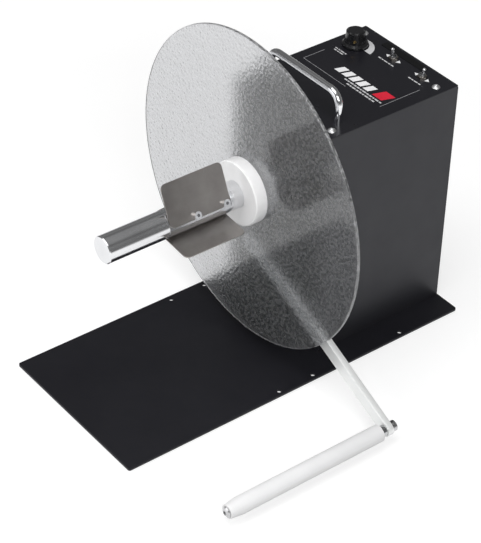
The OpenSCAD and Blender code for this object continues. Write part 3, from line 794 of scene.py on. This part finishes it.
@dataclass
class BaseAndHousing:
    """Base plate, bent housing, lid, rear panel and what is screwed to them, in millimetres."""

    # Each sheet with the width of its eased edges and its finish.
    eased_sheets: tuple[tuple[str, float, Finish], ...] = (
        ("base_plate", 0.5, COAT_BASE),
        ("housing_wrap", 0.5, COAT_WALL),
        ("rear_panel", 0.3, COAT_WALL),
        ("top_panel", 0.4, COAT_LID),
        ("blank_plate", 0.15, LABEL),
    )
    # The handle's radius, and how far the drawn bar lies inside its solid.
    handle_r: float = 3.75
    handle_skin: float = 0.02
    handle_bend: float = 12.0
    handle_steps: int = 24
    finishes: Finishes = (
        (
            SCREW_STEEL,
            ("base_screws", "rear_panel_screws", "handle_screws", "wall_screws", "motor_screws"),
        ),
        (BRIGHT_ZINC, ("top_panel_screws",)),
        (PART_ALUMINIUM, ("bearing_block", "pivot_block")),
        (
            RACE_STEEL,
            ("bearing_outer_races", "bearing_balls", "return_spring", "board_standoffs"),
        ),
        (BRASS, ("pivot_bush",)),
        (RUBBER, ("arm_stops",)),
        (PLATED, ("motor_plate", "gear_motor", "sensor_bracket")),
        (BOARD, ("control_board",)),
        (DULL_BLACK, ("board_components", "power_inlet", "arm_sensor")),
    )

    def handle(self) -> None:
        """Builds the carry handle as one smoothly bent bar, just inside its solid."""
        low, high = box_of("carry_handle")
        left, right = low.x + self.handle_r, high.x - self.handle_r
        bend = self.handle_bend
        spring = high.z - self.handle_r - bend
        arc = [math.pi / 2 * k / self.handle_steps for k in range(self.handle_steps + 1)]
        path = [(left, low.z)]
        path += [(left + bend - bend * math.cos(a), spring + bend * math.sin(a)) for a in arc]
        path += [(right - bend + bend * math.sin(a), spring + bend * math.cos(a)) for a in arc]
        path.append((right, low.z))
        name = "carry_handle_bar"
        middle = (low.y + high.y) / 2
        mesh = bent_bar(path, middle, self.handle_r - self.handle_skin, name)
        stand_in(name, mesh, "carry_handle", CHROME)

    def build(self) -> None:
        """Builds and dresses the pieces."""
        for node, width, finish in self.eased_sheets:
            eased(node, width, finish)
        self.handle()
        dress(self.finishes)


@dataclass
class LidPrint:
    """Generic printed marks on the lid, in millimetres."""

    z: float = box_of("top_panel")[1].z
    knob: Point = PIVOT_OF["torque_turn"]
    switches: tuple[Point, ...] = (PIVOT_OF["direction_throw"], PIVOT_OF["torque_throw"])
    line: float = 0.5
    corner: Pair = (-56.0, 105.0)
    left_line: float = 24.0
    front_line: float = 58.0
    right_end: Pair = (44.3, 108.0)
    right_line: float = 46.0
    bands: int = 5
    band_start: Pair = (-26.0, 115.5)
    band_size: Pair = (7.0, 9.5)
    band_slant: float = 3.0
    band_pitch: float = 9.6
    red_start: Pair = (25.0, 115.5)
    red_size: Pair = (12.5, 13.0)
    red_slant: float = 4.2
    # Left end, front edge, length and height of each row of dashes.
    rows: tuple[tuple[float, float, float, float], ...] = (
        (-8.0, 111.8, 50.0, 1.6),
        (-1.0, 108.2, 38.0, 1.6),
        (-53.5, 139.4, 15.0, 1.2),
        (-52.0, 136.6, 12.0, 1.2),
        (-18.5, 160.2, 21.0, 1.3),
        (22.5, 159.4, 16.0, 1.3),
    )
    dash_widths: tuple[float, ...] = (3.4, 2.2, 4.6, 2.8)
    dash_gap: float = 0.9
    least_dash: float = 1.5
    wedge_turn: float = 92.0
    wedge_steps: int = 14
    wedge_inner: float = 12.9
    wedge_thin: float = 14.4
    wedge_thick: float = 20.6
    arrow_tip: float = 9.6
    arrow_foot: float = 5.6
    arrow_half: float = 2.5

    def frame_lines(self) -> list[Outline]:
        """Returns the outlines of the thin lines round the middle of the lid."""
        t = self.line
        (left, front), (right, right_front) = self.corner, self.right_end
        return [
            bar(left - t / 2, front, t, self.left_line),
            bar(left, front - t / 2, self.front_line, t),
            bar(right - t / 2, right_front, t, self.right_line),
        ]

    def band_row(self) -> list[Outline]:
        """Returns the outlines of the leaning bands in a row."""
        x, y = self.band_start
        return [
            bar(x + self.band_pitch * k, y, *self.band_size, self.band_slant)
            for k in range(self.bands)
        ]

    def wedge(self) -> Outline:
        """Returns the outline of the torque wedge, which thickens clockwise round the knob."""
        x, y, _ = self.knob
        inner, outer = [], []
        for k in range(self.wedge_steps + 1):
            share = k / self.wedge_steps
            a = math.radians(self.wedge_turn * (1 - share))
            reach = self.wedge_thin + (self.wedge_thick - self.wedge_thin) * share
            for side, r in ((inner, self.wedge_inner), (outer, reach)):
                side.append((x + r * math.cos(a), y + r * math.sin(a)))
        return inner + outer[::-1]

    def dashes(self, x: float, y: float, length: float, height: float) -> list[Outline]:
        """Gives a row of short bars that stands in for small print.

        Args:
            x: left end.
            y: front edge.
            length: length of the row.
            height: height of the bars.

        Returns:
            The outlines of the bars, in millimetres.
        """
        row, at, end = [], x, x + length
        while at < end - self.least_dash:
            width = min(self.dash_widths[len(row) % len(self.dash_widths)], end - at)
            row.append(bar(at, y, width, height))
            at += width + self.dash_gap
        return row

    def arrows(self) -> list[Outline]:
        """Returns the outlines of the arrow marks on both sides of each switch."""
        return [
            [
                (x + side * self.arrow_tip, y),
                (x + side * self.arrow_foot, y + side * self.arrow_half),
                (x + side * self.arrow_foot, y - side * self.arrow_half),
            ]
            for x, y, _ in self.switches
            for side in (-1, 1)
        ]

    def build(self) -> None:
        """Builds the printed marks."""
        rules = [dash for row in self.rows for dash in self.dashes(*row)]
        red = bar(*self.red_start, *self.red_size, self.red_slant)
        for name, shapes, finish in (
            ("lid_lines", self.frame_lines(), INK_LINE),
            ("lid_bands", self.band_row(), INK_WHITE),
            ("lid_rules", rules, INK_GREY),
            ("lid_red_band", [red], INK_RED),
            ("lid_wedge", [self.wedge()], INK_GREY),
            ("lid_arrows", self.arrows(), INK_WHITE),
        ):
            new_piece(name, printed(shapes, self.z, name), "frame", finish)


@dataclass
class Controls:
    """Torque knob and the two toggle switches."""

    finishes: Finishes = (
        (KNOB_BLACK, ("torque_knob",)),
        (BRASS, ("knob_set_screw",)),
        (RACE_STEEL, ("potentiometer_shaft",)),
        (PLATED, ("potentiometer", "direction_switch", "torque_switch")),
        (CHROME, ("direction_lever", "torque_lever")),
        (NICKEL, ("toggle_nuts",)),
    )

    def build(self) -> None:
        """Dresses the controls."""
        dress(self.finishes)


@dataclass
class RollSpindle:
    """Spindle with its flange disc, hubs and core leaves, in millimetres."""

    axis: Point = PIVOT_OF["spindle_spin"]
    disc_steps: int = 256
    # Size of the rim's rounded corners, and the point halfway round them, inward and along Y.
    rim: float = 0.5
    rim_shoulder: Pair = (0.15, 0.2)
    # Faces whose normals lean less along Y than this belong to the rim.
    face_normal: float = 0.99
    hub_edge: float = 4.0
    hub_steps: int = 7
    leaf_edge: float = 0.15
    leaves: tuple[str, ...] = ("core_leaf_1", "core_leaf_2", "core_leaf_3")
    finishes: Finishes = (
        (SPINDLE_CHROME, ("mandrel",)),
        (WHITE, ("rear_hub", "spindle_gear")),
        (CHROME, ("leaf_screws",)),
        (SCREW_STEEL, ("hub_screws",)),
        (PART_ALUMINIUM, ("spindle_spacer",)),
        (RACE_STEEL, ("bearing_inner_races", "retaining_ring", "motor_shaft")),
        (BRASS, ("motor_pinion",)),
    )

    def section(self) -> Outline:
        """Gives the disc's section, as large as its solid and with rounded corners.

        Returns:
            Points of radius and Y.
        """
        node = "flange_disc"
        x, _, z = self.axis
        radii = [math.hypot(p.x - x, p.z - z) for p in points_of(node)]
        bore, outer = round(min(radii), 3), round(max(radii), 3)
        front, back = (corner.y for corner in box_of(node))
        inward, along = self.rim_shoulder
        return [
            (bore, front),
            (outer - self.rim, front),
            (outer - inward, front + along),
            (outer, front + self.rim),
            (outer, back - self.rim),
            (outer - inward, back - along),
            (outer - self.rim, back),
            (bore, back),
        ]

    def flange(self) -> None:
        """Builds the clear disc with a finish for its front, its back and its rim."""
        name = "flange_disc_clear"
        mesh = turned(self.section(), self.axis, name, self.disc_steps)
        disc = new_piece(name, mesh, "spindle", DISC_FRONT)
        for finish in (DISC_REAR, DISC_RIM):
            mesh.materials.append(material_of(finish))
        front, back, rim = range(3)
        for face in mesh.polygons:
            face.use_smooth = abs(face.normal.y) < self.face_normal
            flat = back if face.normal.y > 0 else front
            face.material_index = rim if face.use_smooth else flat
        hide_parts("flange_disc")

    def build(self) -> None:
        """Builds and dresses the spindle."""
        self.flange()
        eased("front_hub", self.hub_edge, WHITE, self.hub_steps)
        for leaf in self.leaves:
            eased(leaf, self.leaf_edge, LEAF_STEEL)
        dress(self.finishes)


@dataclass
class DancerArm:
    """Arm bar with its pivot and the paper roller, in millimetres."""

    arm_edge: float = 0.5
    sleeve_edge: float = 1.0
    sleeve_steps: int = 3
    finishes: Finishes = (
        (PART_ALUMINIUM, ("pivot_spacer", "pivot_collar")),
        (RACE_STEEL, ("pivot_shaft", "roller_axle")),
        (SCREW_STEEL, ("arm_screw", "axle_screws")),
        (WHITE, ("roller_bushes",)),
    )

    def build(self) -> None:
        """Builds and dresses the arm and its roller."""
        eased("dancer_arm", self.arm_edge, ARM_ALUMINIUM)
        eased("roller_sleeve", self.sleeve_edge, ROLLER_WHITE, self.sleeve_steps)
        dress(self.finishes)


@dataclass(frozen=True)
class Lamp:
    """Square soft lamp, with its place and size in metres and its power in watts."""

    name: str
    place: Point
    size: float
    power: float

    def hang(self, target: Point) -> None:
        """Hangs the lamp, aimed at a point.

        Args:
            target: the point.
        """
        data = bpy.data.lights.new(self.name, "AREA")
        data.shape = "SQUARE"
        data.size = self.size
        data.energy = self.power
        lamp = bpy.data.objects.new(self.name, data)
        lamp.location = self.place
        lamp.rotation_mode = "QUATERNION"
        aim = Vector(target) - Vector(self.place)
        lamp.rotation_quaternion = aim.to_track_quat("-Z", "Y")
        bpy.context.scene.collection.objects.link(lamp)


@dataclass
class Studio:
    """Pale floor, soft lights and the camera, in metres."""

    eye: Point = (1.1432, -0.9223, 1.1980)
    right: Point = (0.6109, 0.7913, 0.0251)
    up: Point = (-0.4929, 0.3554, 0.7942)
    back: Point = (0.6195, -0.4976, 0.6071)
    lens: float = 137.11
    sensor: float = 36.0
    clip: Pair = (0.05, 50.0)
    target: Point = (0.0, 0.0, 0.1)
    lamps: tuple[Lamp, ...] = (
        Lamp("key", (-0.5, -1.9, 0.75), 1.8, 18.0),
        Lamp("fill", (1.6, -0.6, 1.3), 1.0, 17.0),
        Lamp("top", (0.1, -0.35, 1.9), 1.2, 13.0),
    )
    floor_half: float = 6.0
    floor_drop: float = 0.0006
    floor_grey: Colour = (0.5, 0.5, 0.5)
    # The floor's glow near and far from the object, and the distances between which it changes.
    glow: Pair = (0.55, 1.0)
    glow_ends: Pair = (0.5, 1.8)
    # The share of the glow that mirrors show, near and far.
    mirrored: Pair = (1.0, 0.12)
    mirrored_ends: Pair = (0.9, 1.3)
    soft_light: float = 0.45
    # Height on the sky and how bright mirrors show it.
    ceiling: tuple[Pair, ...] = (
        (0.0, 0.16),
        (0.25, 0.16),
        (0.48, 0.19),
        (0.66, 0.12),
        (0.83, 0.24),
        (1.0, 0.22),
    )
    # Directions along Y between which the sky turns white behind a clear sheet.
    behind_ends: Pair = (0.0, 0.2)

    def camera(self) -> None:
        """Sets the camera at the photograph's viewpoint."""
        data = bpy.data.cameras.new("camera")
        data.sensor_width = self.sensor
        data.lens = self.lens
        data.clip_start, data.clip_end = self.clip
        cam = bpy.data.objects.new("camera", data)
        bpy.context.scene.collection.objects.link(cam)
        turn = Matrix((self.right, self.up, self.back)).transposed()
        cam.rotation_mode = "QUATERNION"
        cam.rotation_quaternion = turn.to_quaternion().normalized()
        cam.location = self.eye
        bpy.context.scene.camera = cam

    def floor(self) -> None:
        """Lays the floor that the object stands on."""
        bm = bmesh.new()
        bmesh.ops.create_grid(bm, x_segments=1, y_segments=1, size=self.floor_half)
        obj = bpy.data.objects.new("floor", mesh_from(bm, "floor"))
        obj.location = (0, 0, -self.floor_drop)
        bpy.context.scene.collection.objects.link(obj)
        obj.data.materials.append(self.floor_white())

    def floor_white(self) -> bpy.types.Material:
        """Makes the floor's finish, white to the eye and shaded where the object stands.

        Returns:
            The material.
        """
        mat = bpy.data.materials.new("floor_white")
        mat.use_nodes = True
        mat.node_tree.nodes.clear()
        n = Nodes(mat.node_tree)
        out = n.add("ShaderNodeOutputMaterial")
        both = n.add("ShaderNodeAddShader")
        matte = n.add("ShaderNodeBsdfDiffuse", Color=(*self.floor_grey, 1))
        glow = n.add("ShaderNodeEmission")
        path = n.add("ShaderNodeLightPath")
        reach = n.add("ShaderNodeVectorMath")
        reach.operation = "LENGTH"
        n.link(n.add("ShaderNodeTexCoord").outputs["Object"], reach.inputs[0])
        away = reach.outputs["Value"]
        level = n.math("MULTIPLY", self.seen(n, path), n.spread(away, *self.glow, self.glow_ends))
        share = n.add("ShaderNodeMix", A=1.0)
        n.link(path.outputs["Is Glossy Ray"], share.inputs["Factor"])
        n.link(n.spread(away, *self.mirrored, self.mirrored_ends), share.inputs["B"])
        strength = n.math("MULTIPLY", level, share.outputs["Result"])
        n.link(strength, glow.inputs["Strength"])
        n.link(matte.outputs[0], both.inputs[0])
        n.link(glow.outputs[0], both.inputs[1])
        n.link(both.outputs[0], out.inputs["Surface"])
        return mat

    def seen(self, n: Nodes, path: bpy.types.Node) -> Socket:
        """Joins the rays that see the background.

        Args:
            n: the shader's nodes.
            path: its Light Path node.

        Returns:
            1 for camera, glossy and transmitted rays, else 0.
        """
        total = path.outputs["Is Camera Ray"]
        for name in ("Is Glossy Ray", "Is Transmission Ray"):
            total = n.math("MAXIMUM", total, path.outputs[name])
        return total

    def world(self) -> None:
        """Fills the surroundings with white for the eye and soft light for the rest."""
        world = bpy.data.worlds.new("studio")
        bpy.context.scene.world = world
        world.use_nodes = True
        world.node_tree.nodes.clear()
        n = Nodes(world.node_tree)
        out = n.add("ShaderNodeOutputWorld")
        mix = n.add("ShaderNodeMixShader")
        soft = n.add("ShaderNodeBackground", Color=(1, 1, 1, 1), Strength=self.soft_light)
        white = n.add("ShaderNodeBackground", Color=(1, 1, 1, 1))
        path = n.add("ShaderNodeLightPath")
        n.link(self.sky(n, path), white.inputs["Strength"])
        n.link(self.seen(n, path), mix.inputs["Fac"])
        n.link(soft.outputs[0], mix.inputs[1])
        n.link(white.outputs[0], mix.inputs[2])
        n.link(mix.outputs[0], out.inputs["Surface"])

    def sky(self, n: Nodes, path: bpy.types.Node) -> Socket:
        """Makes the background white to the eye and dim in mirrors.

        Args:
            n: the world's nodes.
            path: its Light Path node.

        Returns:
            The background's strength.
        """
        split = n.add("ShaderNodeSeparateXYZ")
        n.link(n.add("ShaderNodeTexCoord").outputs["Generated"], split.inputs[0])
        fade = n.add("ShaderNodeValToRGB")
        fade.color_ramp.interpolation = "EASE"
        while len(fade.color_ramp.elements) < len(self.ceiling):
            fade.color_ramp.elements.new(1.0)
        for stop, (height, grey) in zip(fade.color_ramp.elements, self.ceiling):
            stop.position = height
            stop.color = (grey, grey, grey, 1)
        n.link(split.outputs["Z"], fade.inputs["Fac"])
        behind = n.spread(split.outputs["Y"], 0.0, 1.0, self.behind_ends)
        through = n.math("MULTIPLY", path.outputs["Is Transmission Ray"], behind)
        direct = n.math("MAXIMUM", fade.outputs["Color"], path.outputs["Is Camera Ray"])
        return n.math("MAXIMUM", direct, through)

    def build(self) -> None:
        """Builds the studio."""
        bpy.context.scene.view_settings.view_transform = "Standard"
        self.camera()
        self.floor()
        self.world()
        for lamp in self.lamps:
            lamp.hang(self.target)


def main() -> None:
    """Builds the studio and every sub-assembly in order."""
    logging.basicConfig(level=logging.INFO, format="%(message)s")
    for part in (Studio(), BaseAndHousing(), LidPrint(), Controls(), RollSpindle(), DancerArm()):
        part.build()
        LOG.info("finished %s", type(part).__name__)


if __name__ == "__main__":
    main()
